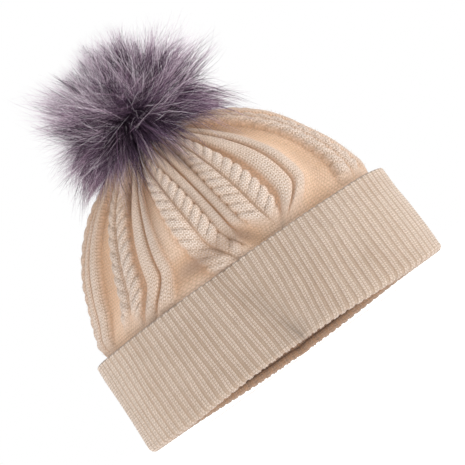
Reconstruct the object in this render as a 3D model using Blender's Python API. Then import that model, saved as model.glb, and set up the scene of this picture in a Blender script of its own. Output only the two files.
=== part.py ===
"""Pom pom beanie: a cable-knit hat with a turned-up ribbed cuff and a fur pompom on a press stud.

Frame: +Z up through the crown, the front of the hat faces -Y, the origin is the middle of the
rectangle that the hat stands on. Metres.
"""

import math

import bmesh
import bpy

MM = 0.001
GAP = 0.3 * MM  # between pieces that touch on the real hat
SHARP_ANGLE = math.radians(40.0)

# the hat's outline seen from above: an oval with flattened front and back
OVAL_POWER = 2.4
RING_SEGMENTS = 48

# cuff, over its outer face
CUFF_TOP_HALF_WIDTH = 112.5 * MM
CUFF_TOP_HALF_DEPTH = 62.5 * MM
CUFF_RIM_HALF_WIDTH = 114.8 * MM
CUFF_RIM_HALF_DEPTH = 64.0 * MM
CUFF_HEIGHT = 66.0 * MM
CUFF_TOP_LEVEL = 71.0 * MM  # at the sides
CUFF_TOP_SLOPE = 3.0 * MM  # the front edge is this much higher, the back edge lower
RIM_LIFT = 8.5 * MM  # how far the front of the rim is off the table
RIM_FLAT = 0.8  # share of the half depth beyond which the back of the rim lies flat
RIM_LIFT_POWER = 1.15

KNIT = 3.0 * MM  # thickness of one layer of the fabric
FOLD_RADIUS = 3.4 * MM
LIP_HEIGHT = 4.6 * MM  # height of the folded lip under the inner band
BAND_TOP_LEVEL = 59.7 * MM

# crown: dome above the cuff
CROWN_LEVEL = 71.5 * MM
CROWN_HEIGHT = 98.0 * MM
CROWN_HALF_WIDTH = 105.0 * MM
CROWN_HALF_DEPTH = 57.0 * MM
CROWN_HEM_FLARE = 2.0 * MM
CROWN_RINGS = 12
CROWN_CROWDING = 2.6  # how much the rings crowd towards the flat top
CROWN_WIDTH_POWERS = (1.2, 0.294)
CROWN_DEPTH_POWERS = (1.8, 0.2055)
CROWN_LAST_RING = 0.93
CROWN_TOP = CROWN_LEVEL + CROWN_HEIGHT
POST_HOLE_RADIUS = 3.0 * MM

SEAM_RADIUS = 1.1 * MM
SEAM_RINGS = 12
THREAD_RADIUS = 0.6 * MM

# press stud on the crown, on the hat's axis
FELT_RADIUS = 15.0 * MM
FELT_THICKNESS = 1.5 * MM
SOCKET_RADIUS = 6.3 * MM
SOCKET_HEIGHT = 5.2 * MM
SOCKET_BASE = CROWN_TOP + GAP
SOCKET_TOP = SOCKET_BASE + SOCKET_HEIGHT
SPRING_LEVEL = SOCKET_BASE + 4.1 * MM
SPRING_RADIUS = 3.55 * MM
SPRING_WIRE = 0.5 * MM
SPRING_SPLIT_DEG = 24.0
STUD_FLANGE_RADIUS = 5.8 * MM
STUD_FLANGE_BASE = SOCKET_TOP + GAP
STUD_FLANGE = 0.8 * MM

# pompom
BASE_DISC_RADIUS = 14.0 * MM
BASE_DISC = 1.2 * MM
BASE_DISC_LEVEL = STUD_FLANGE_BASE + STUD_FLANGE + GAP
POST_HEAD_LEVEL = BASE_DISC_LEVEL + BASE_DISC + GAP
POST_HEAD = 0.7 * MM
TILT_LEVEL = POST_HEAD_LEVEL + POST_HEAD + 0.9 * MM
PELT_RADIUS = 18.0 * MM
PELT_LEATHER = 1.2 * MM
PELT_NECK_RADIUS = 7.0 * MM
PELT_LEVEL = TILT_LEVEL + 19.5 * MM
FUR_HALF_WIDTH = 64.0 * MM
FUR_DEPTH_SHARE = 0.95
FUR_BASE_LEVEL = CROWN_TOP + 7.0 * MM
FUR_BASE_RADIUS = 40.0 * MM
FUR_WAIST_LEVEL = CROWN_TOP + 27.5 * MM
FUR_TOP_LEVEL = CROWN_TOP + 82.0 * MM
FUR_MOUTH_RADIUS = 21.0 * MM
FUR_SKIRT_RINGS = 5
FUR_DOME_RINGS = 9
FUR_ROUNDNESS = 0.9

# care label on the inside of the band, beside the back seam
LABEL_START = 4.0 * MM
LABEL_WIDTH = 30.0 * MM
LABEL_LOW = 24.0 * MM
LABEL_HIGH = 46.0 * MM
LABEL_THICKNESS = 0.6 * MM
LABEL_PANELS = 6

COLOURS = {
    "crown_wool": (0.66, 0.52, 0.40, 1.0),
    "cuff_wool": (0.56, 0.46, 0.38, 1.0),
    "seam_yarn": (0.62, 0.48, 0.37, 1.0),
    "thread": (0.60, 0.50, 0.42, 1.0),
    "felt": (0.55, 0.45, 0.36, 1.0),
    "steel": (0.62, 0.62, 0.64, 1.0),
    "pelt_leather": (0.45, 0.36, 0.34, 1.0),
    "stuffing": (0.80, 0.79, 0.77, 1.0),
    "fur": (0.14, 0.10, 0.15, 1.0),
    "label_tape": (0.82, 0.80, 0.76, 1.0),
}


# ---------------------------------------------------------------- materials and objects


def material(slot, roughness=0.9, metallic=0.0):
    """One Principled material for each finish, made the first time it is asked for."""
    found = bpy.data.materials.get(slot)
    if found:
        return found
    made = bpy.data.materials.new(slot)
    made.use_nodes = True
    shader = made.node_tree.nodes["Principled BSDF"]
    shader.inputs["Base Color"].default_value = COLOURS[slot]
    shader.inputs["Roughness"].default_value = roughness
    shader.inputs["Metallic"].default_value = metallic
    made.diffuse_color = COLOURS[slot]
    return made


def add_pivot(name, level, parent=None):
    """An empty on the hat's axis that carries the pieces of one moving body."""
    pivot = bpy.data.objects.new(name, None)
    bpy.context.scene.collection.objects.link(pivot)
    pivot.location.z = level
    hang_on(pivot, parent)
    return pivot


def hang_on(child, parent):
    """Parent an object without moving it."""
    if parent is None:
        return
    bpy.context.view_layer.update()
    child.parent = parent
    child.matrix_parent_inverse = parent.matrix_world.inverted()


def add_object(name, bm, finish, pivot=None):
    """Link the bmesh as an object, shaded smooth, with its faces pointing out."""
    bmesh.ops.recalc_face_normals(bm, faces=bm.faces)
    mesh = bpy.data.meshes.new(name)
    bm.to_mesh(mesh)
    bm.free()
    mesh.shade_smooth()
    mesh.set_sharp_from_angle(angle=SHARP_ANGLE)
    mesh.materials.append(finish)
    made = bpy.data.objects.new(name, mesh)
    bpy.context.scene.collection.objects.link(made)
    hang_on(made, pivot)
    return made


# ---------------------------------------------------------------- shapes


def bridge(bm, rings, closed):
    """Faces between neighbouring rings of vertices; a ring of one vertex is a pole."""
    pairs = list(zip(rings, rings[1:]))
    if closed:
        pairs.append((rings[-1], rings[0]))
    for low, high in pairs:
        count = max(len(low), len(high))
        for i in range(count):
            j = (i + 1) % count
            if len(low) == 1:
                bm.faces.new((low[0], high[j], high[i]))
            elif len(high) == 1:
                bm.faces.new((low[i], low[j], high[0]))
            else:
                bm.faces.new((low[i], low[j], high[j], high[i]))


def turned_rings(bm, profile, segments, depth_share=1.0):
    """Rings of vertices for a profile of (radius, height) points turned about Z."""
    rings = []
    for radius, height in profile:
        ring = []
        for i in range(segments if radius > 0.0 else 1):
            angle = math.tau * i / segments
            place = (radius * math.cos(angle), radius * depth_share * math.sin(angle), height)
            ring.append(bm.verts.new(place))
        rings.append(ring)
    return rings


def lathe(profile, segments, closed=True):
    """Turn a profile about Z: a closed one makes a ring, an open one runs from pole to pole."""
    bm = bmesh.new()
    bridge(bm, turned_rings(bm, profile, segments), closed)
    return bm


def hollow_lathe(outside, inside, segments, depth_share=1.0):
    """A hollow body open at the bottom: both profiles run from the opening's lip up to a pole."""
    bm = bmesh.new()
    outer = turned_rings(bm, outside, segments, depth_share)
    inner = turned_rings(bm, inside, segments)
    bridge(bm, outer, closed=False)
    bridge(bm, inner, closed=False)
    bridge(bm, [outer[0], inner[0]], closed=False)
    return bm


def arc(centre, radius, start_deg, end_deg, steps):
    """Points (radius from the axis, height) along a circular arc in the profile plane."""
    points = []
    for i in range(steps + 1):
        angle = math.radians(start_deg + (end_deg - start_deg) * i / steps)
        points.append((centre[0] + radius * math.cos(angle), centre[1] + radius * math.sin(angle)))
    return points


def torus_profile(radius, wire, level, sides=8):
    return arc((radius, level), wire, 0.0, 360.0 * (sides - 1) / sides, sides - 1)


def oval_point(half_width, half_depth, i, power=OVAL_POWER):
    """Point i of the hat's outline for the given half sizes."""
    angle = math.tau * i / RING_SEGMENTS
    c, s = math.cos(angle), math.sin(angle)
    x = math.copysign(abs(c) ** (2.0 / power), c) * half_width
    y = math.copysign(abs(s) ** (2.0 / power), s) * half_depth
    return x, y


def oval_shell(rings):
    """A closed shell through rings given as (half width, half depth, height of point (x, y))."""
    bm = bmesh.new()
    loops = []
    for half_width, half_depth, height in rings:
        loop = []
        for i in range(RING_SEGMENTS):
            x, y = oval_point(half_width, half_depth, i)
            loop.append(bm.verts.new((x, y, height(y / CUFF_RIM_HALF_DEPTH))))
        loops.append(loop)
    bridge(bm, loops, closed=True)
    return bm


def back_y(half_width, half_depth, x):
    """Where the outline's back lies at x."""
    return half_depth * (1.0 - abs(x / half_width) ** OVAL_POWER) ** (1.0 / OVAL_POWER)


def tube(path, radius, sides=8):
    """A closed tube along a path in the YZ plane."""
    bm = bmesh.new()
    rings = []
    for i, (y, z) in enumerate(path):
        before, after = path[max(i - 1, 0)], path[min(i + 1, len(path) - 1)]
        along = (after[0] - before[0], after[1] - before[1])
        length = math.hypot(*along)
        across = (along[1] / length, -along[0] / length)
        ring = []
        for k in range(sides):
            angle = math.tau * k / sides
            out = radius * math.cos(angle)
            place = (radius * math.sin(angle), y + across[0] * out, z + across[1] * out)
            ring.append(bm.verts.new(place))
        rings.append(ring)
    bridge(bm, rings, closed=False)
    bm.faces.new(rings[0])
    bm.faces.new(rings[-1])
    return bm


# ---------------------------------------------------------------- levels of the rim and the cuff


def rim_level(share):
    """Height of the rim where y is this share of the half depth: flat at the back, lifted in front."""
    rise = max(0.0, (RIM_FLAT - share) / (1.0 + RIM_FLAT)) ** RIM_LIFT_POWER
    return RIM_LIFT * math.sin(0.5 * math.pi * min(rise, 1.0))


def cuff_top_level(share):
    return CUFF_TOP_LEVEL - CUFF_TOP_SLOPE * share


def cuff_ring(inset, local):
    """A ring of the cuff: inset from its outer face, at this height on its flat width."""
    part = local / CUFF_HEIGHT

    def height(share):
        low, high = rim_level(share), cuff_top_level(share)
        straight = low + (high - low) * part
        fold = max(0.0, 1.0 - local / (LIP_HEIGHT + 6.0 * MM))
        return straight * (1.0 - fold) + (low + local) * fold

    half_width = CUFF_RIM_HALF_WIDTH + (CUFF_TOP_HALF_WIDTH - CUFF_RIM_HALF_WIDTH) * part
    half_depth = CUFF_RIM_HALF_DEPTH + (CUFF_TOP_HALF_DEPTH - CUFF_RIM_HALF_DEPTH) * part
    return half_width - inset, half_depth - inset, height


# ---------------------------------------------------------------- knitted pieces


def cuff_turn_up():
    """The outer layer of the cuff with the fold at its foot, which turns under the inner band."""
    under = KNIT + GAP + KNIT
    profile = [
        (0.0, CUFF_HEIGHT - 0.8 * MM),
        (0.0, 44.0 * MM),
        (0.0, 22.0 * MM),
        (0.0, FOLD_RADIUS),
        (1.0 * MM, 1.0 * MM),
        (2.3 * MM, 0.0),
        (under - 2.3 * MM, 0.0),
        (under - 1.0 * MM, 1.0 * MM),
        (under, FOLD_RADIUS),
        (under, LIP_HEIGHT),
        (KNIT, LIP_HEIGHT),
        (KNIT, 22.0 * MM),
        (KNIT, 44.0 * MM),
        (KNIT, CUFF_HEIGHT - 0.8 * MM),
        (0.7 * KNIT, CUFF_HEIGHT),
        (0.3 * KNIT, CUFF_HEIGHT),
    ]
    bm = oval_shell([cuff_ring(inset, local) for inset, local in profile])
    return add_object("cuff_turn_up", bm, material("cuff_wool"))


def band_face(part):
    """Outer half sizes of the inner band, from its foot (0) to its top (1)."""
    foot_width = CUFF_RIM_HALF_WIDTH - KNIT - 1.4 * GAP
    foot_depth = CUFF_RIM_HALF_DEPTH - KNIT - 1.4 * GAP
    top_width = CROWN_HALF_WIDTH + CROWN_HEM_FLARE
    top_depth = CROWN_HALF_DEPTH + 0.8 * CROWN_HEM_FLARE
    return foot_width + (top_width - foot_width) * part, foot_depth + (top_depth - foot_depth) * part


def band_ring(inset, part):
    half_width, half_depth = band_face(part)

    def height(share):
        low = rim_level(share) + LIP_HEIGHT + GAP
        return low + (BAND_TOP_LEVEL - low) * part

    return half_width - inset, half_depth - inset, height


def inner_band_knit():
    """The inner layer of the cuff, between the fold and the crown."""
    parts = [0.0, 0.35, 0.7, 1.0]
    rings = [band_ring(0.0, p) for p in reversed(parts)] + [band_ring(KNIT, p) for p in parts]
    return add_object("inner_band_knit", oval_shell(rings), material("cuff_wool"))


def dome_half(climb, half, powers):
    """Half size of the dome at a share of its height."""
    return half * (1.0 - climb ** powers[0]) ** powers[1]


def dome_rings(inset):
    """Rings of the crown's outer (inset 0) or inner face, from the hem to the flat top."""
    width, depth, height = CROWN_HALF_WIDTH - inset, CROWN_HALF_DEPTH - inset, CROWN_HEIGHT - inset
    hem = BAND_TOP_LEVEL + GAP
    flare = CROWN_HEM_FLARE
    rings = [(width + flare, depth + 0.8 * flare, lambda share: hem)]
    for i in range(CROWN_RINGS):
        climb = 1.0 - (1.0 - CROWN_LAST_RING * i / (CROWN_RINGS - 1)) ** CROWN_CROWDING
        level = CROWN_LEVEL + height * climb
        half_width = dome_half(climb, width, CROWN_WIDTH_POWERS)
        half_depth = dome_half(climb, depth, CROWN_DEPTH_POWERS)
        rings.append((half_width, half_depth, lambda share, level=level: level))
    top = CROWN_LEVEL + height
    rings.append((POST_HOLE_RADIUS, POST_HOLE_RADIUS, lambda share: top))
    return rings


def crown_knit():
    """The dome of the hat, gathered to a small hole at the top that the press stud's post fills."""
    rings = dome_rings(0.0) + list(reversed(dome_rings(KNIT)))
    return add_object("crown_knit", oval_shell(rings), material("crown_wool"))


def back_seam_path(low, high, stand_off):
    """Points (y, z) inside the back of the crown, between two shares of the dome's height."""
    depth, height = CROWN_HALF_DEPTH - KNIT, CROWN_HEIGHT - KNIT
    face = []
    for i in range(SEAM_RINGS + 1):
        climb = low + (high - low) * i / SEAM_RINGS
        y = dome_half(climb, depth, CROWN_DEPTH_POWERS)
        face.append((y, CROWN_LEVEL + height * climb))
    path = []
    for i, (y, z) in enumerate(face):
        before, after = face[max(i - 1, 0)], face[min(i + 1, SEAM_RINGS)]
        along = (after[0] - before[0], after[1] - before[1])
        length = math.hypot(*along)
        path.append((y - stand_off * along[1] / length, z + stand_off * along[0] / length))
    return path


def crown_back_seam():
    """The linking seam up the inside of the back of the crown."""
    path = back_seam_path(0.02, 0.93, SEAM_RADIUS + 2.0 * GAP)
    return add_object("crown_back_seam", tube(path, SEAM_RADIUS), material("seam_yarn"))


def band_back_seam():
    """The linking seam up the inside of the back of the band."""
    path = []
    for i in range(5):
        part = 0.05 + 0.9 * i / 4
        _, half_depth = band_face(part)
        level = LIP_HEIGHT + (BAND_TOP_LEVEL - LIP_HEIGHT) * part
        path.append((half_depth - KNIT - SEAM_RADIUS - 1.5 * GAP, level))
    return add_object("band_back_seam", tube(path, SEAM_RADIUS), material("seam_yarn"))


def crown_gather_thread():
    """The yarn that draws the top of the crown together, under the fabric."""
    level = CROWN_TOP - KNIT - GAP - THREAD_RADIUS - 0.2 * MM
    profile = torus_profile(FELT_RADIUS + 2.0 * MM, THREAD_RADIUS, level)
    return add_object("crown_gather_thread", lathe(profile, 32), material("thread"))


# ---------------------------------------------------------------- care label


def label_y(x, level, stand_off):
    """Where a layer beside the band's inner face lies at x."""
    part = (level - LIP_HEIGHT) / (BAND_TOP_LEVEL - LIP_HEIGHT)
    half_width, half_depth = band_face(part)
    return back_y(half_width - KNIT, half_depth - KNIT, x) - stand_off


def band_strip(start, width, low, high, stand_off, thickness):
    """A thin strip that follows the curve of the band's inner face."""
    bm = bmesh.new()
    rings = []
    for i in range(LABEL_PANELS + 1):
        x = start + width * i / LABEL_PANELS
        corners = []
        for level, layer in ((low, 0), (high, 0), (high, 1), (low, 1)):
            y = label_y(x, level, stand_off + layer * thickness)
            corners.append(bm.verts.new((x, y, level)))
        rings.append(corners)
    bridge(bm, rings, closed=False)
    bm.faces.new(rings[0])
    bm.faces.new(rings[-1])
    return bm


def care_label():
    """A plain fabric tab beside the back seam."""
    bm = band_strip(LABEL_START, LABEL_WIDTH, LABEL_LOW, LABEL_HIGH, 2.0 * GAP, LABEL_THICKNESS)
    return add_object("care_label", bm, material("label_tape"))


def care_label_stitching():
    """The line of thread along the label's top edge."""
    margin = 1.5 * MM
    high = LABEL_HIGH - margin
    stand_off = 3.0 * GAP + LABEL_THICKNESS
    low = high - THREAD_RADIUS
    bm = band_strip(LABEL_START + margin, LABEL_WIDTH - 2.0 * margin, low, high, stand_off, THREAD_RADIUS)
    return add_object("care_label_stitching", bm, material("thread"))


# ---------------------------------------------------------------- press stud


def crown_reinforcement_disc():
    """A felt washer inside the crown, which spreads the pull of the press stud."""
    top = CROWN_TOP - KNIT - GAP
    low, hole = top - FELT_THICKNESS, POST_HOLE_RADIUS
    profile = [(hole, low), (FELT_RADIUS, low), (FELT_RADIUS, top), (hole, top)]
    return add_object("crown_reinforcement_disc", lathe(profile, 32), material("felt"))


def snap_cap():
    """The rivet: a domed cap inside the hat and a post that rises through the crown."""
    seat = CROWN_TOP - KNIT - GAP - FELT_THICKNESS - GAP
    post_top = SOCKET_BASE + 1.2 * MM
    profile = [
        (0.0, seat - 1.8 * MM),
        (4.5 * MM, seat - 1.4 * MM),
        (7.0 * MM, seat - 0.6 * MM),
        (7.2 * MM, seat),
        (1.9 * MM, seat),
        (1.9 * MM, SOCKET_BASE + 0.95 * MM),
        (2.3 * MM, SOCKET_BASE + 1.0 * MM),
        (2.3 * MM, post_top),
        (0.0, post_top),
    ]
    return add_object("snap_cap", lathe(profile, 24, closed=False), material("steel", 0.35, 1.0))


def snap_socket():
    """The socket on top of the crown: a cup with a groove for the ring spring."""
    base, top = SOCKET_BASE, SOCKET_TOP
    groove_low, groove_high = SPRING_LEVEL - 0.8 * MM, SPRING_LEVEL + 0.7 * MM
    profile = [
        (2.2 * MM, base),
        (SOCKET_RADIUS - 0.4 * MM, base),
        (SOCKET_RADIUS, base + 0.4 * MM),
        (SOCKET_RADIUS, top - 0.6 * MM),
        (SOCKET_RADIUS - 0.6 * MM, top),
        (3.3 * MM, top),
        (3.3 * MM, groove_high),
        (4.4 * MM, groove_high),
        (4.4 * MM, groove_low),
        (3.2 * MM, groove_low),
        (3.2 * MM, base + 0.7 * MM),
        (2.2 * MM, base + 0.7 * MM),
    ]
    return add_object("snap_socket", lathe(profile, 24), material("steel", 0.35, 1.0))


def snap_ring_spring(pivot):
    """The split wire ring that lies in the socket's groove and turns there with the stud."""
    bm = bmesh.new()
    steps = 24
    rings = []
    for i in range(steps + 1):
        angle = math.radians(0.5 * SPRING_SPLIT_DEG + (360.0 - SPRING_SPLIT_DEG) * i / steps)
        ring = []
        for radius, level in torus_profile(SPRING_RADIUS, SPRING_WIRE, SPRING_LEVEL):
            ring.append(bm.verts.new((radius * math.cos(angle), radius * math.sin(angle), level)))
        rings.append(ring)
    bridge(bm, rings, closed=False)
    bm.faces.new(rings[0])
    bm.faces.new(rings[-1])
    return add_object("snap_ring_spring", bm, material("steel", 0.35, 1.0), pivot)


def snap_stud(pivot):
    """The stud: a hollow button whose rounded end sits in the socket, under a wide flange."""
    tip, bulb = SOCKET_BASE + 1.7 * MM, SOCKET_BASE + 2.9 * MM
    neck = SPRING_LEVEL + 0.1 * MM
    flange, top = STUD_FLANGE_BASE, STUD_FLANGE_BASE + STUD_FLANGE
    profile = [
        (0.0, tip),
        (1.9 * MM, tip),
        (2.5 * MM, tip + 0.4 * MM),
        (2.7 * MM, bulb),
        (2.2 * MM, neck),
        (2.2 * MM, flange),
        (STUD_FLANGE_RADIUS, flange),
        (STUD_FLANGE_RADIUS, top),
        (1.6 * MM, top),
        (1.6 * MM, tip + 0.9 * MM),
        (0.0, tip + 0.9 * MM),
    ]
    return add_object("snap_stud", lathe(profile, 24, closed=False), material("steel", 0.35, 1.0), pivot)


def snap_stud_post(pivot):
    """The post that holds the stud to the pompom's base: a disc and a barrel in the stud's bore."""
    low = SOCKET_BASE + 3.1 * MM
    head = POST_HEAD_LEVEL
    profile = [
        (0.0, low),
        (1.2 * MM, low),
        (1.2 * MM, head),
        (4.6 * MM, head),
        (4.8 * MM, head + 0.3 * MM),
        (4.0 * MM, head + POST_HEAD),
        (0.0, head + POST_HEAD),
    ]
    return add_object("snap_stud_post", lathe(profile, 24, closed=False), material("steel", 0.35, 1.0), pivot)


# ---------------------------------------------------------------- pompom


def pompom_base_disc(pivot):
    """The felt disc that the stud is riveted to and the pelt is sewn to."""
    low, top, hole = BASE_DISC_LEVEL, BASE_DISC_LEVEL + BASE_DISC, 1.8 * MM
    profile = [(hole, low), (BASE_DISC_RADIUS, low), (BASE_DISC_RADIUS, top), (hole, top)]
    return add_object("pompom_base_disc", lathe(profile, 32), material("felt"), pivot)


def neck_angle_deg(radius):
    """Direction, down from the pelt's middle, at which a sphere meets the neck's radius."""
    return math.degrees(math.acos(PELT_NECK_RADIUS / radius))


def pompom_gather_thread(pivot):
    """The drawstring that closes the pelt's neck."""
    neck = math.sqrt(PELT_RADIUS ** 2 - PELT_NECK_RADIUS ** 2)
    level = PELT_LEVEL - neck - GAP - THREAD_RADIUS
    profile = torus_profile(PELT_NECK_RADIUS + THREAD_RADIUS, THREAD_RADIUS, level)
    return add_object("pompom_gather_thread", lathe(profile, 32), material("thread"), pivot)


def dome_arc(radius, start_deg, steps):
    """Part of a circle about the pelt's middle that ends exactly on the pole."""
    points = arc((0.0, PELT_LEVEL), radius, start_deg, 90.0, steps)
    points[-1] = (0.0, PELT_LEVEL + radius)
    return points


def pompom_pelt(pivot):
    """The leather side of the fur: a round sack with a small neck at the bottom."""
    lining = PELT_RADIUS - PELT_LEATHER
    outside = dome_arc(PELT_RADIUS, -neck_angle_deg(PELT_RADIUS), 9)
    inside = dome_arc(lining, -neck_angle_deg(lining), 9)
    return add_object("pompom_pelt", hollow_lathe(outside, inside, 24), material("pelt_leather"), pivot)


def pompom_stuffing(pivot):
    """The fibre ball inside the pelt."""
    radius = PELT_RADIUS - PELT_LEATHER - 1.4 * GAP
    profile = dome_arc(radius, -90.0, 12)
    profile[0] = (0.0, PELT_LEVEL - radius)
    bm = lathe(profile, 24, closed=False)
    return add_object("pompom_stuffing", bm, material("stuffing"), pivot)


def fur_outside():
    """Profile of the brushed-out fur: a flat underside, a rounded skirt and a tall dome."""
    skirt = FUR_WAIST_LEVEL - FUR_BASE_LEVEL
    reach = FUR_HALF_WIDTH - FUR_BASE_RADIUS
    dome = FUR_TOP_LEVEL - FUR_WAIST_LEVEL
    profile = [(FUR_MOUTH_RADIUS, FUR_BASE_LEVEL)]
    for i in range(FUR_SKIRT_RINGS + 1):
        angle = 0.5 * math.pi * i / FUR_SKIRT_RINGS
        radius = FUR_BASE_RADIUS + reach * math.sin(angle)
        profile.append((radius, FUR_WAIST_LEVEL - skirt * math.cos(angle)))
    for i in range(1, FUR_DOME_RINGS):
        angle = 0.5 * math.pi * i / FUR_DOME_RINGS
        radius = FUR_HALF_WIDTH * math.cos(angle) ** FUR_ROUNDNESS
        profile.append((radius, FUR_WAIST_LEVEL + dome * math.sin(angle) ** FUR_ROUNDNESS))
    profile.append((0.0, FUR_TOP_LEVEL))
    return profile


def pompom_fur(pivot):
    """The outer shape of the fur, hollow where the pelt sits and open below."""
    cavity = PELT_RADIUS + 1.4 * GAP
    inside = [(cavity, FUR_BASE_LEVEL)] + dome_arc(cavity, 0.0, 6)
    bm = hollow_lathe(fur_outside(), inside, 36, FUR_DEPTH_SHARE)
    return add_object("pompom_fur", bm, material("fur"), pivot)


def build_hat():
    crown_knit()
    inner_band_knit()
    cuff_turn_up()
    crown_back_seam()
    band_back_seam()
    crown_gather_thread()
    care_label()
    care_label_stitching()
    crown_reinforcement_disc()
    snap_cap()
    snap_socket()


def build_pompom():
    """The chain of moving bodies: the spring turns, the stud lifts off, the pompom tilts."""
    swivel = add_pivot("pompom_swivel_pivot", SPRING_LEVEL)
    snap_ring_spring(swivel)
    stud = add_pivot("pompom_pull_off_pivot", SPRING_LEVEL, swivel)
    snap_stud(stud)
    snap_stud_post(stud)
    pompom_base_disc(stud)
    tilt = add_pivot("pompom_tilt_pivot", TILT_LEVEL, stud)
    pompom_gather_thread(tilt)
    pompom_pelt(tilt)
    pompom_stuffing(tilt)
    pompom_fur(tilt)


def main():
    for found in list(bpy.data.objects):
        bpy.data.objects.remove(found, do_unlink=True)
    build_hat()
    build_pompom()


main()
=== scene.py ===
"""Looks of the pom pom beanie: rib and cable knit, a fox-like fur pompom, studio light and camera.

Metres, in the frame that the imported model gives: +Z up, the front of the hat faces -Y.
"""

import math

import bmesh
import bpy
import numpy as np
from mathutils import Matrix, Vector


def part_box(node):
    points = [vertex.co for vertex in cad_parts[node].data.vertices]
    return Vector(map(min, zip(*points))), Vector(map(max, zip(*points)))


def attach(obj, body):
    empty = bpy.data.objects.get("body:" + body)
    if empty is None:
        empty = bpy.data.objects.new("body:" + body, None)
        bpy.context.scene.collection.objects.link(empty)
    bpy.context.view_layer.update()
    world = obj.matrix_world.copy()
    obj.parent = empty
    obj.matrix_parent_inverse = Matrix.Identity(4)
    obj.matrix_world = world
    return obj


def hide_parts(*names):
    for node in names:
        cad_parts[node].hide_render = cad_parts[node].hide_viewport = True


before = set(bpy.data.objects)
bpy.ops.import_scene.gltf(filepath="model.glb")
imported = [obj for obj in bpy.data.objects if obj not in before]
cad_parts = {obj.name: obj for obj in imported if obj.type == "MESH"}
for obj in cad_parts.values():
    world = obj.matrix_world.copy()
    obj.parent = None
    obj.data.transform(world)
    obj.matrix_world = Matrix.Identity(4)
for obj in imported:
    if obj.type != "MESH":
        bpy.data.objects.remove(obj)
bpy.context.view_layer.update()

MM = 0.001


def box(node):
    """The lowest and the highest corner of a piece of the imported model."""
    return [np.array(corner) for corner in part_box(node)]


# -------- node trees


class Nodes:
    """A short way to write node trees: each method adds a node and returns its output socket."""

    def __init__(self, tree):
        self.tree = tree

    def add(self, kind, inputs=(), output=0, **settings):
        node = self.tree.nodes.new(kind)
        for name, value in settings.items():
            setattr(node, name, value)
        for key, value in dict(inputs).items():
            self.feed(node.inputs[key], value)
        return node.outputs[output]

    def feed(self, socket, value):
        if isinstance(value, bpy.types.NodeSocket):
            self.tree.links.new(value, socket)
        else:
            socket.default_value = value

    def calc(self, operation, a, b=0, c=0):
        return self.add("ShaderNodeMath", {0: a, 1: b, 2: c}, operation=operation)

    def times(self, a, b):
        return self.calc("MULTIPLY", a, b)

    def sine(self, value, factor=math.pi):
        return self.calc("SINE", self.times(value, factor))

    def mix(self, factor, a, b):
        inputs = {"Factor": factor, 6: a, 7: b}
        return self.add("ShaderNodeMix", inputs, output=2, data_type="RGBA")

    def place(self):
        return self.add("ShaderNodeTexCoord", output=3)

    def noise(self, scale, detail=2, roughness=0.5):
        inputs = {"Vector": self.place(), "Scale": scale, "Detail": detail, "Roughness": roughness}
        return self.add("ShaderNodeTexNoise", inputs)

    def attribute(self, name):
        return self.add("ShaderNodeAttribute", output=2, attribute_name=name)

    def remap(self, value, low, high, to_low, to_high):
        inputs = {0: value, 1: low, 2: high, 3: to_low, 4: to_high}
        return self.add("ShaderNodeMapRange", inputs)

    def bump(self, height, distance, strength=1):
        inputs = {"Height": height, "Distance": distance, "Strength": strength}
        return self.add("ShaderNodeBump", inputs)

    def finish(self, colour, bump, rough=None):
        """Feed the shader: its colour, bump (height, distance, strength) and remapped roughness."""
        self.feed(self.shader["Base Color"], colour)
        self.feed(self.shader["Normal"], self.bump(*bump))
        if rough:
            self.feed(self.shader["Roughness"], self.remap(*rough))
        return self.material


def principled(name, roughness, **settings):
    """The nodes of a new material with one Principled shader; settings are its sockets by name."""
    material = bpy.data.materials.new(name)
    material.use_nodes = True
    n = Nodes(material.node_tree)
    n.material, n.shader = material, material.node_tree.nodes["Principled BSDF"].inputs
    n.shader["Roughness"].default_value = roughness
    for key, value in settings.items():
        n.shader[key.replace("_", " ")].default_value = value
    return n


PAINTED_FOLD_SHADE = (0.35, 0.26, 0.23, 1)  # painted shade: a lavender-grey shadow colour where the fabric tucks under itself
PAINTED_WARM_SHADE = (0.60, 0.31, 0.15, 1)  # painted shade: a warm, darker colour for the narrow grooves beside cables and ribs and for the inside of the rim


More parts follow.
